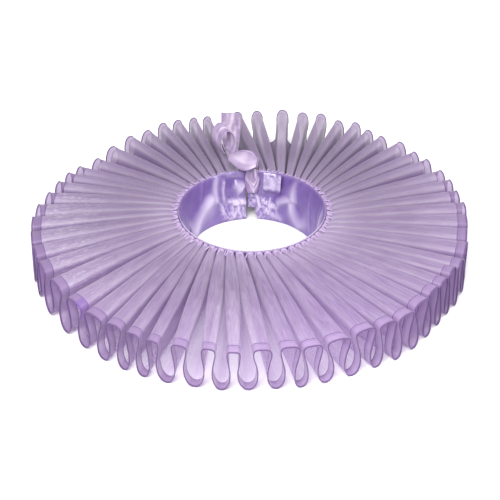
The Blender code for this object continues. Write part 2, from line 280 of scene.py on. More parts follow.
def rear_shade_share(tree, length):
    """From 0 at the front of the collar to 1 over its rear, by the place along the strip: the share of
    painted shade that darkens the rear.
    """
    along = cut_place(tree)[ALONG]
    off = add(tree, "Math", {"operation": "SUBTRACT"}, {0: along, 1: length / 2})
    away = add(tree, "Math", {"operation": "ABSOLUTE"}, {0: off})
    return add(tree, "MapRange", {}, {"Value": away, "From Max": REAR_BEGINS * length})


def sheen_streak_share(tree, length):
    """Where the organza carries streaks of painted sheen: pale streaks on the outer half of the
    front's left side.
    """
    share = add(tree, "MapRange", {"interpolation_type": "SMOOTHSTEP"},
                {"Value": grain(tree, 1.6, 9.0, 3.0, 0.7, 1.2), "From Min": 0.47, "From Max": 0.70,
                 "To Max": 0.66})
    for axis, begins, ends in ((ALONG, 0.63 * length, 0.70 * length),
                               (ALONG, 0.87 * length, 0.78 * length),
                               (ACROSS, 40.0 * MM, 95.0 * MM)):
        share = add(tree, "Math", {"operation": "MULTIPLY"},
                    {0: share, 1: place_share(tree, axis, begins, ends)})
    return share


def see_through(tree, body, colour, passed, tint, cover):
    """The whole of a sheer cloth: threads, of which some light is passed on to the other side, and
    tinted gaps between them, by the share that the threads cover."""
    glow = add(tree, "BsdfTranslucent", {}, {"Color": colour})
    threads = add(tree, "MixShader", {}, {0: passed, 1: body, 2: glow})
    gaps = add(tree, "BsdfTransparent", {}, {"Color": linear(tint)})
    whole = add(tree, "MixShader", {}, {0: cover, 1: gaps, 2: threads})
    add(tree, "OutputMaterial", {}, {"Surface": whole})


def make_organza(name, length, cloth, pale, rear_shade_colour, cover, tint):
    """Polyester organza, plain woven from fine twisted threads.  About half of it is open, so one
    layer only veils what is behind it and several build up to a solid lilac.  Crimping leaves fine
    streaks along the folds where the threads lie closer; the streaks are also painted paler, as
    painted sheen."""
    material, tree = new_material(name)
    streaks = grain(tree, 2.2, 22.0, 3.0, 0.6, 0.6)
    clouds = grain(tree, 14.0, 26.0)
    mottle = add(tree, "Mix", {}, {"Factor": 0.35, "A": streaks, "B": clouds})
    density_and_sheen_streaks = add(tree, "MapRange", {}, {"Value": mottle, "From Min": 0.36, "From Max": 0.64})
    turn_over, shoulder, underside = [add(tree, "Attribute", {"attribute_name": mark}).outputs["Fac"]
                                      for mark in ("turn_over", "shoulder", "underside")]
    turn_over_shade = add(tree, "Math", {"operation": "MULTIPLY"}, {0: turn_over, 1: 0.55})
    shoulder_highlight = add(tree, "Math", {"operation": "MULTIPLY"}, {0: shoulder, 1: 0.45})
    behind = rear_shade_share(tree, length)
    # the last few mm at the neck, gathered tight
    heading = place_share(tree, ACROSS, 3.6 * MM, 1.6 * MM)
    colour = layered(tree, cloth, (
        # painted sheen: paler where the streaks run
        (density_and_sheen_streaks, pale),
        (behind, rear_shade_colour),             # painted shade, darker towards the opening
        # painted sheen in pale streaks on the front's left side
        (sheen_streak_share(tree, length), "#EAE4EE"),
        (turn_over_shade, "#8F73A8"),    # a line of painted shade where a fold turns over
        (shoulder_highlight, "#EADFF0"),    # and a painted highlight along its shoulder
        (heading, "#DAC6E4")))

    low, high = cover
    covered = low
    for share, amount in (
        (density_and_sheen_streaks, high - low),
        # pulled flat over its outer half, and thin in the lower folds
        (1.0, place_share(tree, ACROSS, 55.0 * MM, 115.0 * MM, 0.0, -0.08)),
        (underside, -0.23),
        # denser towards the opening, which darkens the rear as painted shade, edge on where it turns
        # over, and crowded at the neck
        (behind, place_share(tree, ACROSS, 60.0 * MM, 112.0 * MM, 0.30, 0.56)),
        (turn_over, 0.20),
        (1.0, place_share(tree, ACROSS, 42.0 * MM, 4.0 * MM, 0.0, 0.22)),
    ):
        covered = add(tree, "Math", {"operation": "MULTIPLY_ADD"},
                      {0: share, 1: amount, 2: covered})
    solid = add(tree, "Math", {"operation": "MAXIMUM"}, {0: covered, 1: heading})
    sheer = add(tree, "Math", {"operation": "MINIMUM"}, {0: solid, 1: 0.92})

    # threads 0.25 mm apart are too fine to show, so the weave is drawn at 0.9 mm
    bump = add(tree, "Bump", {},
               {"Height": grain(tree, 0.9, 3.6), "Strength": 0.35, "Distance": 0.3 * MM})
    body = add(tree, "BsdfPrincipled", {},
               {"Base Color": colour, "Roughness": 0.42, "Specular IOR Level": 0.45,
                "Sheen Weight": 0.25, "Sheen Roughness": 0.4, "Normal": bump})
    see_through(tree, body, colour, 0.40, tint, sheer)
    return material


LIT_FOLD_AT = 0.677        # place along the strip of one fold painted a deeper, saturated lilac as painted light
LIT_FOLD_HALF = 0.011


def make_edge_ribbon(name, length, cloth, dark, rear_shade_colour, cover):
    """The organza strip's woven satin edge: threads packed close, so it is nearly solid, smooth and
    a deeper lilac, with a firmer, darker line of threads along both of its sides."""
    material, tree = new_material(name)
    # the place across it runs from 0 at its inner side to its width at the rim
    along, across = cut_place(tree)
    second = add(tree, "Math", {"operation": "COMPARE"}, {0: across, 1: 2.3 * MM, 2: 0.35 * MM})
    inner = add(tree, "Math", {"operation": "MULTIPLY_ADD"},
                {0: second, 1: 0.25, 2: place_share(tree, ACROSS, 1.3 * MM, 0.3 * MM)})
    outer = place_share(tree, ACROSS, EDGE_WIDTH - 1.5 * MM, EDGE_WIDTH - 0.4 * MM)
    line = add(tree, "Math", {"operation": "MAXIMUM"}, {0: inner, 1: outer})
    ribs = grain(tree, 7.0, 1.4, 3.0)
    tone = add(tree, "Math", {"operation": "MULTIPLY_ADD", "use_clamp": True},
               {0: ribs, 1: 0.45, 2: line})
    # painted light: one fold of the edge painted a deeper, saturated lilac
    deep = add(tree, "Math", {"operation": "COMPARE"},
               {0: along, 1: LIT_FOLD_AT * length, 2: LIT_FOLD_HALF})
    lit_fold_share = add(tree, "Math", {"operation": "MULTIPLY"}, {0: deep, 1: 0.5})
    # painted shade darkens the edge over the rear of the collar
    colour = layered(tree, cloth, ((rear_shade_share(tree, length), rear_shade_colour), (tone, dark),
                                   (lit_fold_share, "#8E63BE")))
    bump = add(tree, "Bump", {}, {"Height": ribs, "Strength": 0.25, "Distance": 0.3 * MM})
    body = add(tree, "BsdfPrincipled", {},
               {"Base Color": colour, "Roughness": 0.36, "Specular IOR Level": 0.5,
                "Sheen Weight": 0.2, "Normal": bump})
    low, high = cover
    close = add(tree, "MapRange", {}, {"Value": tone, "To Min": low, "To Max": high})
    see_through(tree, body, colour, 0.30, "#EADFF0", close)
    return material


def make_satin(name, deep, light, crest, roughness, gloss):
    """Polyester satin, warp faced: long floats give it a smooth face, deep in colour, with faint lines
    along the warp.  Its creases carry a painted highlight, near white, laid on by the lit mark."""
    material, tree = new_material(name)
    # floats 0.15 mm apart are too fine to show, so they are drawn 0.8 mm apart
    bump = add(tree, "Bump", {},
               {"Height": grain(tree, 9.0, 0.8), "Strength": 0.2, "Distance": 0.2 * MM})
    tone = add(tree, "MapRange", {},
               {"Value": grain(tree, 11.0, 7.0), "From Min": 0.3, "From Max": 0.7})
    # painted highlight: the lit mark lays the pale crest colour on the creases
    turned = add(tree, "Attribute", {"attribute_name": "lit"})
    colour = layered(tree, deep, ((tone, light), (turned.outputs["Fac"], crest)))
    body = add(tree, "BsdfPrincipled", {},
               {"Base Color": colour, "Roughness": roughness, "Specular IOR Level": 0.8,
                "Sheen Weight": 0.15, "Sheen Roughness": 0.35, "Sheen Tint": linear("#F3E9FF"),
                "Normal": bump})
    # the floats lie side by side like fine wires and mirror the light along their length
    shine = add(tree, "BsdfAnisotropic", {},
                {"Color": linear("#F1E6FA"), "Roughness": roughness, "Anisotropy": 0.5,
                 "Normal": bump})
    whole = add(tree, "MixShader", {}, {0: gloss, 1: body, 2: shine})
    add(tree, "OutputMaterial", {}, {"Surface": whole})
    return material


def make_bunched(name, pale, deep):
    """Organza gathered tight into the neck seam: many layers together, so it is solid and pale, and
    its doubled edges shine."""
    material, tree = new_material(name)
    colour = layered(tree, pale, ((grain(tree, 0.8, 4.0), deep),))
    body = add(tree, "BsdfPrincipled", {},
               {"Base Color": colour, "Roughness": 0.4, "Sheen Weight": 0.3})
    add(tree, "OutputMaterial", {}, {"Surface": body})
    return material


def make_floor(name):
    """Matt white paper sweep."""
    material, tree = new_material(name)
    fibres = add(tree, "TexNoise", {}, {"Scale": 40.0, "Detail": 2.0})
    colour = layered(tree, "#F9F8FA", ((fibres, "#FCFBFC"),))
    body = add(tree, "BsdfPrincipled", {},
               {"Base Color": colour, "Roughness": 0.9, "Specular IOR Level": 0.1})
    add(tree, "OutputMaterial", {}, {"Surface": body})
    return material


# --- The pleated strip ---

UPPER_WIDEN = 1.08          # the cloth's upper folds nearly touch
NECK_WIDEN = 1.50           # and puff out against each other by the neck
UPPER_HALF_MOST = 0.0110    # half width of the widest upper fold
MIDDLE_UPPER_FILL = 0.98    # how full the folds are half way out
MIDDLE_LOWER_FILL = 0.60
RULED_LEAST = 0.8           # least width there, against a straight line from neck to rim
UPPER_DROP = 0.42           # the upper folds are flat with tight shoulders
UPPER_FLAT = 1.27
ARCH_DROP = 1.25            # the ones behind stand up in round arches
ARCH_FLAT = 0.72
LOWER_DROP = 1.00           # the lower folds are round
LOWER_FLAT = 0.62
LEAD = 0.96                 # how closely a fold's side follows its shoulder into the wall
SAMPLES = 9                 # columns in each quarter of a pleat
ROWS = 34                   # rows from neck to the satin edge
CLOSER = 0.35               # how much closer the rows lie at the neck
EDGE_ROWS = 5               # rows over the satin edge
UPPER_STRAY = 0.0012        # how far the folds' heights stray at the rim
LOWER_STRAY = (0.0004, 0.0016)
LOWER_STRAYING = 0.4        # share of the lower folds that stand off the floor
SWAY = 0.9 * MM             # how far a pleat bends aside on its way out
SAG = 0.7 * MM              # and how far its upper fold sags
PUFF = 0.9 * MM             # the gathers' rise where they leave the neck seam
PUFF_DENT = 2.0 * MM        # and the dent that parts each in two
LONG_CRIMP = 0.34 * MM      # height of the soft crimps along each fold
SHORT_CRIMP = 0.16 * MM     # and of the short ones
FLOOR_GAP = 0.15 * MM       # least height of the cloth over the floor


class Fold:
    def __init__(self, upper, neck_bearing, rim_bearing, reach):
        self.upper = upper
        self.neck_bearing = neck_bearing
        self.rim_bearing = rim_bearing
        self.reach = reach if upper else reach + LOWER_REACH
        self.neck_crest = NECK_TOP if upper else NECK_FOOT
        self.rim_crest = around(rim_bearing, 2) - CLOTH_REST if upper else CLOTH_REST


def rim_places():
    """Bearing and reach of every fold at the rim, lower and upper by turns, lower at both ends."""
    first, second = UPPER_FOLDS[:2]
    before, last = UPPER_FOLDS[-2:]
    places = [((3.0 * first[0] - second[0]) / 2, first[1])]
    for here, ahead in zip(UPPER_FOLDS, UPPER_FOLDS[1:]):
        places.append(here)
        places.append(((here[0] + ahead[0]) / 2, (here[1] + ahead[1]) / 2))
    places.append(last)
    places.append(((3.0 * last[0] - before[0]) / 2, last[1]))
    return places


def turns_beside(bearings):
    """Degrees from each fold to the nearer of the ones beside it."""
    turns = [abs(here - ahead) for here, ahead in zip(bearings, bearings[1:])]
    return [min(pair) for pair in zip(turns[:1] + turns, turns + turns[-1:])]


def lay_folds():
    """The folds with the same places, widths and strays as in the frame."""
    chance = random.Random(7)
    places = rim_places()
    folds = []
    for count, (rim, reach) in enumerate(places):
        near = min(GATHER_EVEN, count, len(places) - 1 - count)
        beside = places[count - near:count + near + 1]
        even = sum(bearing for bearing, _ in beside) / len(beside)
        folds.append(Fold(count % 2 == 1, even - around(even, 1), rim, reach))
    neck_turns = turns_beside([fold.neck_bearing for fold in folds])
    rim_turns = turns_beside([fold.rim_bearing for fold in folds])
    for fold, neck_turn, rim_turn in zip(folds, neck_turns, rim_turns):
        full = around(fold.rim_bearing, 3 if fold.upper else 4)
        fold.neck_room = math.radians(neck_turn) * BAND_TOP_RADIUS
        fold.rim_room = math.radians(rim_turn) * fold.reach
        fold.neck_half = NECK_FILL * fold.neck_room
        fold.rim_half = full * fold.rim_room
        if fold.upper:
            fold.rim_crest += chance.uniform(-UPPER_STRAY, UPPER_STRAY)
        elif chance.random() < LOWER_STRAYING:
            fold.rim_crest += chance.uniform(*LOWER_STRAY)
    return folds


def round_to_wall(crest, shoulder, flat, wall):
    """A rounded quarter of a pleat from a fold's crest to the middle of its wall, in rows of place
    aside and height.  The shoulder is measured from the crest, and flat is how far out the level
    crest runs, against the shoulder's place aside."""
    turn = crest + np.array([shoulder[0] * flat, 0.0])
    lead = wall + (crest + shoulder - wall) * LEAD
    t = np.linspace(0.0, 1.0, SAMPLES, endpoint=False)[:, None]
    return ((1 - t) ** 3 * crest + 3 * (1 - t) ** 2 * t * turn
            + 3 * (1 - t) * t ** 2 * lead + t ** 3 * wall)


def arch(bearing):
    """1 where the upper folds end in round arches, behind, and 0 where they end flat, in front."""
    behind = math.sin(math.radians(bearing))
    return float(ease(behind, -0.1, 0.55))


def section(folds, at_rim, widen=UPPER_WIDEN):
    """The strip's section at the rim or at the neck, in rows of bearing, height, reach and share
    of upper fold."""
    rows = []
    for here, ahead in zip(folds, folds[1:]):
        radius = (here.reach + ahead.reach) / 2 if at_rim else BAND_TOP_RADIUS
        ends = []
        for fold, side in ((here, 1.0), (ahead, -1.0)):
            half = fold.rim_half if at_rim else fold.neck_half
            height = fold.rim_crest if at_rim else fold.neck_crest
            bearing = fold.rim_bearing if at_rim else fold.neck_bearing
            if fold.upper:
                half = min(half * widen, UPPER_HALF_MOST)
                arched = arch(fold.rim_bearing) if at_rim else 0.0
                drop = -(UPPER_DROP + (ARCH_DROP - UPPER_DROP) * arched) * half
                flat = UPPER_FLAT + (ARCH_FLAT - UPPER_FLAT) * arched
            else:
                drop, flat = LOWER_DROP * half, LOWER_FLAT
            crest = np.array([-math.radians(bearing) * radius, height])
            ends.append((crest, np.array([side * half, drop]), flat))
        wall = sum(crest + shoulder for crest, shoulder, flat in ends) / 2
        first, second = [round_to_wall(crest, shoulder, flat, wall) for crest, shoulder, flat in ends]
        whole = np.concatenate([first, [wall], second[:0:-1]])
        share = np.linspace(0.0, 1.0, len(whole), endpoint=False)
        reach = here.reach + (ahead.reach - here.reach) * smooth(share)
        up = 1.0 - share if here.upper else share
        rows.append(np.stack([-np.degrees(whole[:, 0] / radius), whole[:, 1], reach, smooth(up)], -1))
    last = folds[-1]
    end = (last.rim_bearing, last.rim_crest) if at_rim else (last.neck_bearing, last.neck_crest)
    rows.append(np.array([[*end, last.reach, 0.0]]))
    return np.concatenate(rows)


def widening(folds):
    """How far aside and up each column moves at the middle, where the upper folds fill out until
    they nearly touch and the lower ones draw in: metres aside and metres up."""
    moved = []
    for upper_fill, lower_fill, widen in ((None, None, UPPER_WIDEN),
                                          (MIDDLE_UPPER_FILL, MIDDLE_LOWER_FILL, 1.0)):
        middles = [copy.copy(fold) for fold in folds]
        for fold in middles:
            room = fold.rim_room * MIDDLE + fold.neck_room * (1.0 - MIDDLE)
            ruled = fold.rim_half * MIDDLE + fold.neck_half * (1.0 - MIDDLE)
            fill = upper_fill if fold.upper else lower_fill
            fold.rim_half = ruled if fill is None else max(fill * room, RULED_LEAST * ruled)
            fold.rim_crest = fold.rim_crest * MIDDLE + fold.neck_crest * (1.0 - MIDDLE)
        at_middle = section(middles, True, widen)
        radius = np.array([fold.reach for fold in folds]).mean()
        moved.append(np.stack([-np.radians(at_middle[:, 0]) * radius, at_middle[:, 1]], -1))
    return moved[1] - moved[0]


def stand_up(points, shares, upper, wider, aside):
    """Upper folds rise in a low crown, and lower folds lie flat from the middle outwards."""
    crown = np.sin(np.pi * np.clip(shares, 0.0, 1.0) ** (math.log(0.5) / math.log(MIDDLE)))
    points[..., 2] += upper * CROWN * crown
    points[..., :2] -= crown[..., None] * (wider[:, :1] * aside)[None]
    points[..., 2] += crown * wider[:, 1][None]
    fall = NECK_FOOT - CLOTH_REST
    level = fall * (np.maximum(1.0 - shares / MIDDLE, 0.0) - (1.0 - shares))
    points[..., 2] += (1.0 - upper) * level


def sway(points, shares, upper, aside, pleats):
    """Each pleat sways and sags a little on its way out, and puffs up in two small heads where it
    leaves the neck seam."""
    chance = random.Random(21)
    columns = np.linspace(0.0, pleats - 1.0, points.shape[1])
    across, down = [np.interp(columns, np.arange(pleats),
                              [chance.uniform(-1.0, most) for _ in range(pleats)])
                    for most in (1.0, 0.6)]
    bend = np.sin(np.pi * np.clip(shares, 0.0, 1.0))
    points[..., :2] += SWAY * (across * bend)[..., None] * aside[None]
    points[..., 2] += SAG * down * bend * upper
    puff = np.exp(-((shares - 0.030) / 0.022) ** 2)
    dent = np.exp(-((1.0 - upper) / 0.10) ** 2)
    points[..., 2] += puff * upper * (PUFF - PUFF_DENT * dent)


def crimp(points, shares, u, v):
    """Fine crimps: long soft ones along each fold, and short ones that grow towards the rim."""
    long_crimp = grid_noise(u / (8.0 * MM), v / (60.0 * MM), 1.7)
    short_crimp = grid_noise(u / (4.5 * MM) + v / (60.0 * MM), v / (17.0 * MM), 5.1)
    grow = 0.25 + 0.75 * ease(shares, 0.35, 0.85)
    room = 0.35 + 0.65 * ease(shares, 0.0, 0.4)
    offset = LONG_CRIMP * long_crimp * room + SHORT_CRIMP * short_crimp * grow
    points += grid_normals(points) * offset[..., None]
    points[..., 2] = np.maximum(points[..., 2], FLOOR_GAP)


def strip_grid():
    """Points of the whole strip: shares from neck to rim down the rows, along the strip across."""
    folds = lay_folds()
    neck = section(folds, False, NECK_WIDEN)
    rim = section(folds, True)
    inner = polar(cone_radius(neck[:, 1]) + NECK_GAP, neck[:, 0], neck[:, 1], NECK_FORWARD)
    outer = polar(rim[:, 2], rim[:, 0], rim[:, 1])
    upper = rim[:, 3]
    depth = np.linalg.norm(outer - inner, axis=1)
    along = np.concatenate([[0.0], np.cumsum(np.linalg.norm(np.diff(outer, axis=0), axis=1))])
    edge_share = 1.0 - EDGE_WIDTH / depth
    steps = np.linspace(0.0, 1.0, ROWS)
    steps = steps + CLOSER * (steps * steps - steps) * (1.0 - steps)
    shares = steps[:, None] * edge_share[None, :]
    beyond = np.linspace(0.0, 1.0, EDGE_ROWS)[1:, None] * (1.0 - edge_share) + edge_share
    shares = np.concatenate([shares, beyond])
    points = inner[None] + (outer - inner)[None] * shares[..., None]

    radial = outer - inner
    aside = np.stack([-radial[:, 1], radial[:, 0]], -1)
    aside /= np.linalg.norm(aside, axis=1, keepdims=True)
    stand_up(points, shares, upper, widening(folds), aside)
    sway(points, shares, upper, aside, len(folds))
    u = np.broadcast_to(along[None], shares.shape)
    v = shares * depth[None]
    crimp(points, shares, u, v)
    turn_over = np.exp(-((upper - 0.80) / 0.075) ** 2)
    shoulder = np.exp(-((upper - 0.93) / 0.045) ** 2)
    marks = {"turn_over": turn_over, "shoulder": shoulder, "underside": 1.0 - ease(upper, 0.25, 0.6)}
    return points, u, v, {mark: np.broadcast_to(row, shares.shape) for mark, row in marks.items()}


def build_strip(points, u, v, marks):
    ruffle = mesh_from_grid("organza_ruffle", points[:ROWS], organza, u[:ROWS], v[:ROWS],
                            marks={mark: grid[:ROWS] for mark, grid in marks.items()})
    last = ROWS - 1
    edge = mesh_from_grid("satin_edge_ribbon", points[last:], edge_ribbon, u[last:],
                          v[last:] - v[last][None])
    return ruffle, edge, selvedge(points[-1], u[-1])


SELVEDGE_RADIUS = 0.00050   # two or three heavier threads along the outer edge
SELVEDGE_SIDES = 5


def selvedge(path, u):
    """The firm outer selvedge, on the rim of the strip, radially out from its middle."""
    outward = path.copy() - np.array([CENTRING.x, CENTRING.y, 0.0])
    outward[:, 2] = 0.0
    outward /= np.linalg.norm(outward, axis=1, keepdims=True)
    steady = path + outward * SELVEDGE_RADIUS * 0.5
    away = np.cross(np.gradient(steady, axis=0), outward)
    away /= np.maximum(np.linalg.norm(away, axis=1, keepdims=True), 1e-12)
    turn = np.linspace(0.0, 2.0 * np.pi, SELVEDGE_SIDES, endpoint=False)
    ring = np.cos(turn)[None, :, None] * outward[:, None] + np.sin(turn)[None, :, None] * away[:, None]
    points = steady[:, None] + SELVEDGE_RADIUS * ring
    points[..., 2] = np.maximum(points[..., 2], 0.0)
    grid_u = np.broadcast_to(u[:, None], points.shape[:2])
    grid_v = np.full(points.shape[:2], EDGE_WIDTH)
    return mesh_from_grid("edge_selvedge", points, edge_ribbon, grid_u, grid_v, closed_across=True)


# --- Pleat heads and stitches at the neck ---

SEAM_CLEAR = 6.0            # degrees at each end of the band with none
HEADS = 108                 # gathers that show along the neck seam, about two for each pleat
HEAD_TURNS = 8
HEAD_RINGS = 6
HEAD_WIDTH = 0.0014
HEAD_LENGTH = 0.0072
HEAD_GAP = 0.0003           # from the band's outer face
HEAD_TOP = 0.0485           # its middle at the seam
HEAD_FALL = 0.0016          # and how far it falls on its way out
HEAD_RISE = 0.0009          # half its thickness
STITCHES = 118
STITCH_RADIUS = 0.00030
STITCH_SHARE = 0.55         # how much of the seam each stitch covers
STITCH_INSET = 0.0010       # how far inside the band's outer face it starts
STITCH_SLANT = 0.0012       # how far out it runs
STITCH_LIFT = 0.0002        # height over the band's top edge


def joined(name, pieces, material):
    """One mesh from small closed rolls of one grid: points, u and v, rings down and turns across."""
    points, u, v = [np.array(grids) for grids in zip(*pieces)]
    index = np.arange(u.size).reshape(u.shape)
    ahead = np.roll(index, -1, axis=2)
    sides = np.stack([index[:, :-1], ahead[:, :-1], ahead[:, 1:], index[:, 1:]], axis=-1)
    ends = index[:, 0, ::-1].tolist() + index[:, -1].tolist()
    return make_mesh(name, points, sides.reshape(-1, 4).tolist() + ends, material, u, v)


def seam_bearings(count, seed, stray):
    """Bearings along the seam, each straying from its even place by up to a share of the step."""
    chance = random.Random(seed)
    step = (BAND_START - BAND_END - 2 * SEAM_CLEAR) / (count - 1)
    return [BAND_START - SEAM_CLEAR - step * (at + chance.uniform(-stray, stray))
            for at in range(count)]


def build_heads():
    """Small puffs of cloth where the gathers leave the seam, long along the radius."""
    chance = random.Random(41)
    pieces = []
    for bearing in seam_bearings(HEADS, 43, 0.14):
        wide = HEAD_WIDTH * chance.uniform(0.75, 1.1) / 2
        long = HEAD_LENGTH * chance.uniform(0.75, 1.2)
        lean = chance.uniform(-2.2, 1.2)
        share = np.linspace(0.0, 1.0, HEAD_RINGS)[:, None]
        girth = np.sqrt(np.clip(1.0 - (2.0 * share ** 0.8 - 1.0) ** 2, 0.02, 1.0))
        turn = np.linspace(0.0, 2.0 * np.pi, HEAD_TURNS, endpoint=False)[None]
        out = BAND_TOP_RADIUS + HEAD_GAP + long * share + 0.0 * turn
        aside = np.degrees(wide * girth * np.cos(turn) / BAND_TOP_RADIUS) + lean * share
        height = HEAD_TOP - HEAD_FALL * share + HEAD_RISE * girth * np.sin(turn)
        points = polar(out, bearing + aside, height, NECK_FORWARD)
        u = np.broadcast_to(aside * MM, points.shape[:2])
        v = np.broadcast_to(long * share + 0.0 * turn, points.shape[:2])
        pieces.append((points, u, v))
    return joined("pleat_heads", pieces, bunched_organza)


def build_stitches():
    """The overcast seam along the band's top edge, a little slanted."""
    pieces = []
    step = (BAND_START - BAND_END) / STITCHES
    for bearing in seam_bearings(STITCHES, 47, 0.12):
        share = np.linspace(0.0, 1.0, 4)[:, None]
        turn = np.linspace(0.0, 2.0 * np.pi, 6, endpoint=False)[None]
        thick = STITCH_RADIUS * np.sqrt(np.clip(1.0 - (2.0 * share - 1.0) ** 4, 0.1, 1.0))
        across = BAND_TOP_RADIUS - STITCH_INSET + STITCH_SLANT * share + thick * np.cos(turn)
        height = BAND_TOP + STITCH_LIFT + thick * np.sin(turn)
        points = polar(across, bearing + step * STITCH_SHARE * share + 0.0 * turn, height,
                       NECK_FORWARD)
        flat = np.broadcast_to(share * 0.002 + 0.0 * turn, points.shape[:2])
        pieces.append((points, flat, flat))
    return joined("neck_seam_stitches", pieces, bunched_organza)


# --- The neck band ---

BAND_COLUMNS = 620
BAND_ROWS = 30

# Creases of the slack satin, each a soft ridge towards the neck along a line on the band:
# bearing and share of the height at one end and at the other, half width and height in mm
BAND_CREASES = (
    # b0     h0    b1     h1    width  height
    (124.0,  0.60, 157.0, 0.06, 7.5,   3.8),
    (120.5,  0.98, 123.0, 0.46, 3.6,   3.0),
    (134.0,  0.96, 140.0, 0.40, 2.2,   1.5),
    (113.5,  0.86, 115.5, 0.46, 1.6,   2.4),
    (105.0,  0.78, 97.0,  0.66, 4.6,   3.4),
    (112.0,  0.42, 95.5,  0.36, 2.2,   2.8),
    (112.0,  0.98, 97.0,  0.95, 1.8,   2.2),
    (119.0,  0.40, 111.0, 0.04, 2.0,   2.6),
    (108.0,  0.34, 106.0, 0.04, 1.8,   2.6),
    (103.0,  0.32, 99.0,  0.03, 1.8,   2.8),
    (98.0,   0.28, 96.0,  0.04, 1.6,   2.4),
    (114.0,  0.16, 97.0,  0.20, 1.6,   2.0),
    (106.0,  0.26, 98.0,  0.10, 1.2,   1.6),
    (172.0,  0.86, 168.0, 0.10, 1.3,   0.8),
    (50.0,   0.98, 51.0,  0.52, 4.4,   3.2),
    (53.0,   0.54, 68.0,  0.38, 3.4,   2.8),
    (54.0,   0.50, 40.0,  0.04, 6.6,   3.2),
    (81.0,   0.40, 66.0,  0.30, 2.4,   2.8),
    (79.0,   0.24, 64.0,  0.10, 2.2,   2.6),
    (74.0,   0.44, 71.0,  0.10, 1.6,   2.0),
    (68.0,   0.28, 62.0,  0.04, 1.6,   2.0),
    (85.0,   0.46, 82.0,  0.24, 1.8,   2.4),
    (34.0,   0.96, 24.0,  0.10, 1.3,   0.9),
    (14.0,   0.95, 10.0,  0.20, 1.6,   0.7),
)


def band_foot(bearing):
    share = np.clip((bearing - PINCH_BEARING) / PINCH_SPREAD, 0.0, 1.0)
    return BAND_FOOT + PINCH_RISE * smooth(share)


def crease_depth(bearing, share, creases):
    """Summed depth in mm of soft-edged creases at points of the band given by bearing and share."""
    scale = math.radians(1.0) * BAND_TOP_RADIUS / MM
    tall = (BAND_TOP - BAND_FOOT) / MM
    x, y = bearing * scale, share * tall
    total = np.zeros_like(x)
    for b0, h0, b1, h1, width, depth in creases:
        start = np.array([b0 * scale, h0 * tall])
        end = np.array([b1 * scale, h1 * tall])
        line = end - start
        length = np.linalg.norm(line)
        line /= length
        dx, dy = x - start[0], y - start[1]
        run = dx * line[0] + dy * line[1]
        off = dx * -line[1] + dy * line[0]
        bow = 0.08 * length * np.sin(np.pi * np.clip(run / length, 0.0, 1.0))
        off = off - bow
        inside = ease(run, -0.15 * length, 0.12 * length) * ease(-run, -1.15 * length, -0.88 * length)
        widen = 0.8 + 0.5 * np.clip(run / length, 0.0, 1.0)
        total = np.maximum(total, depth * inside * np.exp(-np.abs(off / (width * widen)) ** 1.7))
    return total


def band_creases():
    """The placed creases, with similar ones round the part of the band that is out of sight."""
    chance = random.Random(5)
    creases = list(BAND_CREASES)
    bearing = 4.0
    while bearing > -184.0:
        lean = chance.uniform(-9.0, 9.0)
        low = chance.uniform(0.02, 0.4)
        creases.append((bearing, chance.uniform(0.75, 1.0), bearing + lean, low,
                        chance.uniform(1.4, 3.4), chance.choice((0.8, 1.4, 2.2))))
        bearing -= chance.uniform(9.0, 16.0)
    return creases


def band_surface():
    bearing = np.linspace(BAND_START, BAND_END, BAND_COLUMNS)
    shares = np.linspace(0.0, 1.0, BAND_ROWS)
    turned = np.where(bearing < -180.0, bearing + 360.0, bearing)
    b, s = np.meshgrid(turned, shares)
    raw = np.broadcast_to(bearing[None], b.shape)
    # near the join the two ends are told apart by which side they come from
    left_end = raw < -200.0
    foot = np.where(left_end, BAND_FOOT, band_foot(b))
    height = foot + (BAND_TOP - foot) * s
    slack = np.clip(4.0 * s * (1.0 - s), 0.0, 1.0) ** 0.35
    depth = crease_depth(b, s, band_creases())
    from_join = np.minimum(BAND_START - raw, raw - BAND_END)
    crumple = (1.0 - ease(from_join, 16.0, 30.0)) * (1.0 - 0.75 * ease(s, 0.38, 0.50))
    u = np.radians(raw) * BAND_TOP_RADIUS
    ridges = 1.0 - 3.2 * np.abs(grid_noise(u / (5.5 * MM), height / (6.5 * MM), 3.3))
    small = 1.0 - 3.2 * np.abs(grid_noise(u / (2.6 * MM), height / (3.4 * MM), 8.9))
    gentle = grid_noise(u / (16.0 * MM), height / (22.0 * MM), 6.2)
    rumple = crumple * (0.9 * ridges + 0.4 * small)
    depth = np.clip(depth + rumple + 0.35 * gentle, -0.1, 5.0) * slack
    radius = cone_radius(height) - BAND_WALL / 2 - depth * MM
    # painted highlight: the satin's ridges are painted pale, and where it lies back it keeps its deep
    # colour
    lit = 0.27 * depth + 0.25 * gentle + 0.12 * crumple - 0.12
    lit = np.clip(lit + 0.45 * crumple * np.maximum(small, -0.3), 0.0, 0.95)
    # painted highlight along its top edge round the front, where the edge rounds over towards the
    # light
    front = ease(-np.sin(np.radians(raw)), 0.1, 0.6)
    lit = np.maximum(lit, (0.10 + 0.72 * front) * ease(s, 0.93, 0.985))
    return polar(radius, raw, height, NECK_FORWARD), u, height - BAND_FOOT, lit


def shell(name, middle, wall, material, u, v, lit):
    """A closed thin wall about a middle surface, with rounded edges."""
    normals = grid_normals(middle)
    half = wall / 2
    face = middle + normals * half
    back = middle - normals * half
    top = middle[-1:] + (middle[-1:] - middle[-2:-1]) * 0.25
    foot = middle[:1] + (middle[:1] - middle[1:2]) * 0.25
    points = np.concatenate([foot, face, top, back[::-1]])
    wrapped = [np.concatenate([rows[:1], rows, rows[-1:], rows[::-1]]).swapaxes(0, 1)
               for rows in (u, v, lit)]
    return mesh_from_grid(name, points.swapaxes(0, 1), material, wrapped[0], wrapped[1],
                          closed_across=True, capped=True, marks={"lit": wrapped[2]})


def build_band():
    middle, u, v, lit = band_surface()
    return shell("satin_neck_band", middle, BAND_WALL * 0.8, band_satin, u, v, lit)


# --- The tie ---

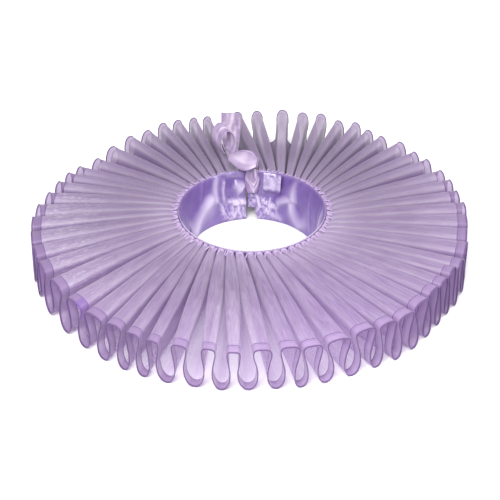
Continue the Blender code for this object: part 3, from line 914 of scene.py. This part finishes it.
RIBBON_WALL = 0.0006


def through(rows, samples):
    """A smooth line through rows of numbers, one sample set between each two."""
    rows = np.array(rows, dtype=float)
    padded = np.concatenate([2 * rows[:1] - rows[1:2], rows, 2 * rows[-1:] - rows[-2:-1]])
    out = []
    for a, b, c, d in zip(padded, padded[1:], padded[2:], padded[3:]):
        t = np.linspace(0.0, 1.0, samples, endpoint=False)[:, None]
        out.append(0.5 * (2 * b + (c - a) * t + (2 * a - 5 * b + 4 * c - d) * t ** 2
                          + (3 * b - 3 * c + d - a) * t ** 3))
    out.append(rows[-1:])
    return np.concatenate(out)


def ribbon(name, rows, sides, belly, crease, seed, samples=8, across=19, turns=None):
    """A stretch of ribbon: rows of middle points, rows of vectors from the middle to an edge, how
    far its middle bellies out in mm, and how deep its lengthwise creases are in mm."""
    middle = through([tuple(Vector(row) + CENTRING) for row in rows], samples)
    side = through(sides, samples)
    bulge = through(np.array(belly, dtype=float)[:, None], samples)[:, 0] * MM
    a = np.linspace(-1.0, 1.0, across)
    surface = middle[:, None] + side[:, None] * a[None, :, None]
    normals = grid_normals(surface)
    along = np.concatenate([[0.0], np.cumsum(np.linalg.norm(np.diff(middle, axis=0), axis=1))])
    u = np.broadcast_to(along[:, None], surface.shape[:2])
    v = np.linalg.norm(side, axis=1)[:, None] * (a[None] + 1.0)
    lift = bulge[:, None] * np.cos(a * np.pi / 2)[None]
    folds = grid_noise(u / (26.0 * MM), v / (3.2 * MM), seed)
    rough = grid_noise(u / (7.0 * MM), v / (5.0 * MM), seed + 4.0)
    surface = surface + normals * (lift + (folds + 0.5 * rough) * crease * MM)[..., None]
    # painted highlight down the ribbon's middle and along its creases, as the lit mark
    middle_highlight = np.cos(a * np.pi / 2)[None] ** 1.5
    lit = 0.65 * middle_highlight + 0.9 * folds + 0.4 * rough - 0.10
    if turns is not None:
        share = np.broadcast_to(np.linspace(0.0, 1.0, len(middle))[:, None], lit.shape)
        raised, lit = turns(np.broadcast_to(a[None], lit.shape), share, lit)
        surface = surface + normals * (raised * MM)[..., None]
    lit = np.clip(lit, 0.0, 1.0)
    return shell(name, surface.swapaxes(0, 1), RIBBON_WALL, tie_satin,
                 v.swapaxes(0, 1), u.swapaxes(0, 1), lit.swapaxes(0, 1))


KNOT_ROWS = (
    (0.0000, 0.0562, 0.0290),
    (0.0000, 0.0588, 0.0370),
    (0.0000, 0.0600, 0.0435),
    (0.0000, 0.0606, 0.0492),
    (0.0000, 0.0624, 0.0514),
    (0.0000, 0.0650, 0.0512),
    (0.0000, 0.0664, 0.0472),
)


def knot_folds(across, along, lit):
    """The ribbon's pressed folds under the knot, in two nested Vs, with painted highlights on the Vs
    and its right side and painted shade in a crease beside them.
    """
    arm = np.abs(across - 0.15 + 0.8 * (along - 0.2)) ** 1.3 * 0.34
    low = 1.0 - ease(along, 0.26, 0.40)
    vees = (np.exp(-((along - 0.04 - arm) / 0.036) ** 2)
            + 0.8 * np.exp(-((along - 0.17 - 0.8 * arm) / 0.024) ** 2))
    side = np.exp(-((across - 0.55) / 0.16) ** 2) * (1.0 - low)
    seam = np.exp(-((across - 0.18) / 0.07) ** 2) * (1.0 - low)
    return 0.9 * (vees * low + 0.6 * side - 0.6 * seam), (0.35 * lit + 1.1 * vees * low + 0.9 * side
                                                          - 0.5 * seam)


KNOT_HALVES = (0.0042, 0.0068, 0.0066, 0.0056, 0.0050, 0.0050, 0.0052)


def build_knot():
    sides = [(half, 0.0, 0.0) for half in KNOT_HALVES]
    return ribbon("ribbon_knot", KNOT_ROWS, sides, (-0.8, -1.6, -1.4, -0.8, -0.3, 0.0, 0.0),
                  0.5, 2.0, samples=12, across=31, turns=knot_folds)


LOOP_ROOT = Vector((0.0035, 0.0580, 0.0622))
LOOP_TIP = Vector((-0.0240, 0.0726, 0.0602))
LOOP_LEAN = 55.0            # degrees from level
LOOP_SETTLED = Vector((0.0015, -0.0005, -0.0015))   # how far its cloth lies from its solid
BOW_LOOP = (
    # along    off      width
    (0.0000,   0.0014,  0.0080),
    (0.0060,   0.0034,  0.0165),
    (0.0120,   0.0042,  0.0188),
    (0.0200,   0.0034,  0.0150),
    (0.0270,   0.0018,  0.0085),
    (0.0304,   0.0000,  0.0060),
    (0.0270,   -0.0018, 0.0085),
    (0.0200,   -0.0026, 0.0150),
    (0.0120,   -0.0030, 0.0188),
    (0.0060,   -0.0026, 0.0165),
    (0.0000,   -0.0014, 0.0080),
)


def leaning_up():
    lean = math.radians(LOOP_LEAN)
    return Vector((0.0, math.cos(lean), math.sin(lean)))


def loop_light(across, along, lit):
    """One broad painted highlight on the front of the loop, and painted shade along its edges."""
    middle = np.exp(-((along - 0.24) / 0.10) ** 2 - ((across - 0.1) / 0.55) ** 2)
    rim = ease(np.abs(across), 0.80, 0.97)
    return 0.0 * across, 0.15 + 0.25 * lit + 0.75 * middle - 0.5 * rim


def build_bow_loop():
    along = (LOOP_TIP - LOOP_ROOT).normalized()
    upward = leaning_up()
    upward = (upward - along * upward.dot(along)).normalized()
    forward = upward.cross(along)
    rows = [LOOP_ROOT + LOOP_SETTLED + along * far + forward * off for far, off, _ in BOW_LOOP]
    sides = [upward * width / 2 for _, _, width in BOW_LOOP]
    bellies = (0.2, 0.9, 1.2, 1.0, 0.5, 0.2, 0.5, 0.9, 1.0, 0.8, 0.2)
    return ribbon("bow_loop_ribbon", rows, sides, bellies, 0.16, 11.0, turns=loop_light)


RING_FOOT = Vector((-0.0219, 0.0795, 0.0555))
RING_HALF_WIDTH = 0.0068
RING_HALF_HEIGHT = 0.0112
RING_ACROSS = Vector((-0.0088, 0.0160, 0.0006))
RING_OPENING = 28.0         # degrees left open on each side of its foot
RING_STEPS = 12


def build_bow_ring():
    upward = leaning_up()
    centre = RING_FOOT + upward * RING_HALF_HEIGHT
    rows, sides = [], []
    for step in range(RING_STEPS + 1):
        angle = math.radians(RING_OPENING + (360.0 - 2 * RING_OPENING) * step / RING_STEPS)
        near = (centre + Vector((RING_HALF_WIDTH * math.sin(angle), 0.0, 0.0))
                - upward * RING_HALF_HEIGHT * math.cos(angle))
        rows.append(near + RING_ACROSS / 2)
        sides.append(RING_ACROSS / 2)
    return ribbon("bow_ring_ribbon", rows, sides, [0.2] * len(rows), 0.3, 17.0, samples=5)


TAIL = (
    # x        y       z       width   roll
    (-0.0190,  0.0900, 0.0530, 0.0110, 8.0),
    (-0.0200,  0.1080, 0.0517, 0.0150, 5.0),
    (-0.0207,  0.1300, 0.0503, 0.0180, -4.0),
    (-0.0210,  0.1530, 0.0488, 0.0185, 5.0),
    (-0.0213,  0.1745, 0.0480, 0.0185, -3.0),
)


def build_tail():
    rows = [(x, y, z) for x, y, z, _, _ in TAIL]
    sides = [(math.cos(math.radians(roll)) * width / 2, 0.0, math.sin(math.radians(roll)) * width / 2)
             for _, _, _, width, roll in TAIL]
    return ribbon("tie_tail_ribbon", rows, sides, (0.6, 0.7, 0.4, 0.2, 0.0), 0.35, 23.0)


FLAP_BEARINGS = (80.0, 64.0)
FLAP_HEIGHTS = (0.0320, 0.0496)
FLAP_STANDOFF = 0.0040


def build_flap():
    columns, rows = 30, 26
    bearing, height = np.meshgrid(np.linspace(*FLAP_BEARINGS, columns),
                                  np.linspace(*FLAP_HEIGHTS, rows))
    u = np.radians(bearing) * BAND_TOP_RADIUS
    rough = grid_noise(u / (5.0 * MM), height / (6.0 * MM), 31.0)
    fine = grid_noise(u / (2.2 * MM), height / (2.2 * MM), 37.0)
    top = ease(height, 0.0425, 0.0475)
    radius = (cone_radius(height) - BAND_WALL / 2 - FLAP_STANDOFF
              + (0.5 * rough + 0.5 * fine * top) * MM)
    middle = polar(radius, bearing, height, NECK_FORWARD)
    # painted shade along the flap's lower edge and painted highlight over the rest of it
    low = 1.0 - ease(height, 0.0325, 0.0350)
    lit = np.clip(0.72 + 0.5 * rough + 0.9 * fine * (0.3 + top) - 0.75 * low, 0.0, 1.0)
    return shell("band_end_flap", middle, BAND_WALL * 0.6, band_satin, u, height, lit)


# --- Building ---

strip_points, strip_u, strip_v, strip_marks = strip_grid()
STRIP_LENGTH = float(strip_u.max())
# the third colour of the organza and of its edge is the painted shade over the rear of the collar
organza = make_organza("woven_polyester_organza", STRIP_LENGTH, "#CDB6DB", "#DAC9E5", "#9F8AAF",
                       (0.36, 0.46), "#F6F2F9")
edge_ribbon = make_edge_ribbon("woven_satin_edge", STRIP_LENGTH, "#C8B0D7", "#775B90", "#8F7AA0",
                               (0.64, 0.94))
# the third colour of each satin is its painted highlight on the creases
band_satin = make_satin("polyester_satin_band", "#553684", "#664793", "#CCBED9", 0.38, 0.09)
tie_satin = make_satin("polyester_satin_ribbon", "#7D6490", "#957DA5", "#CDBCD3", 0.38, 0.08)
bunched_organza = make_bunched("bunched_organza", "#C4ACD3", "#8F74A8")

ruffle, edge, cord = build_strip(strip_points, strip_u, strip_v, strip_marks)
band = build_band()
heads = build_heads()
stitches = build_stitches()
flap = build_flap()
knot = build_knot()
bow_loop = build_bow_loop()
bow_ring = build_bow_ring()
tail = build_tail()

STANDS_FOR = (
    # piece    node           slot
    (ruffle,   "ruffle",      "organza"),
    (edge,     "satin_edge",  "edge_ribbon"),
    (band,     "neck_band",   "band_satin"),
    (flap,     "band_flap",   "band_satin"),
    (knot,     "tie_knot",    "tie_ribbon"),
    (bow_loop, "bow_loop",    "tie_ribbon"),
    (bow_ring, "bow_ring",    "tie_ribbon"),
    (tail,     "tie_tail",    "tie_ribbon"),
)
for piece, node_name, slot in STANDS_FOR:
    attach(piece, "root")
    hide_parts(node_name)
for piece, slot in ((cord, "edge_ribbon"), (heads, "organza"), (stitches, "band_satin")):
    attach(piece, "root")

# --- Floor, light and camera ---

FLOOR_HALF = 6.0
floor_mesh = bpy.data.meshes.new("paper_floor")
floor_mesh.from_pydata([(-FLOOR_HALF, -FLOOR_HALF, 0.0), (FLOOR_HALF, -FLOOR_HALF, 0.0),
                        (FLOOR_HALF, FLOOR_HALF, 0.0), (-FLOOR_HALF, FLOOR_HALF, 0.0)], [],
                       [(0, 1, 2, 3)])
floor_mesh.materials.append(make_floor("matt_white_paper"))
floor = bpy.data.objects.new("paper_floor", floor_mesh)
bpy.context.scene.collection.objects.link(floor)

world = bpy.data.worlds.new("studio")
world.use_nodes = True
world.node_tree.nodes["Background"].inputs["Color"].default_value = linear("#FFFFFF")
world.node_tree.nodes["Background"].inputs["Strength"].default_value = 0.77
bpy.context.scene.world = world


def aim(thing, target):
    thing.rotation_euler = (Vector(target) - thing.location).to_track_quat("-Z", "Y").to_euler()


SOFTBOXES = (
    # name          place                side  watts
    ("front_box",   (-0.25, -0.85, 1.15), 0.7,  20.0),
    ("right_box",   (0.75, -0.25, 1.20),  0.6,  7.0),
)
for name, place, side, watts in SOFTBOXES:
    lamp = bpy.data.lights.new(name, "AREA")
    lamp.size = side
    lamp.energy = watts
    box = bpy.data.objects.new(name, lamp)
    box.location = place
    bpy.context.scene.collection.objects.link(box)
    aim(box, (0.0, 0.0, 0.03))

CAMERA_DISTANCE = 1.24
CAMERA_ELEVATION = math.radians(34.9)
lens = bpy.data.cameras.new("view_camera")
lens.sensor_width = 36.0
lens.lens = 97.8
lens.shift_x = -0.0042
lens.shift_y = 0.0052
camera = bpy.data.objects.new("view_camera", lens)
camera.location = CENTRING + CAMERA_DISTANCE * Vector(
    (0.0, -math.cos(CAMERA_ELEVATION), math.sin(CAMERA_ELEVATION)))
bpy.context.scene.collection.objects.link(camera)
aim(camera, CENTRING)
bpy.context.scene.camera = camera

bpy.context.scene.view_settings.view_transform = "Standard"
bpy.context.scene.cycles.transparent_max_bounces = 24
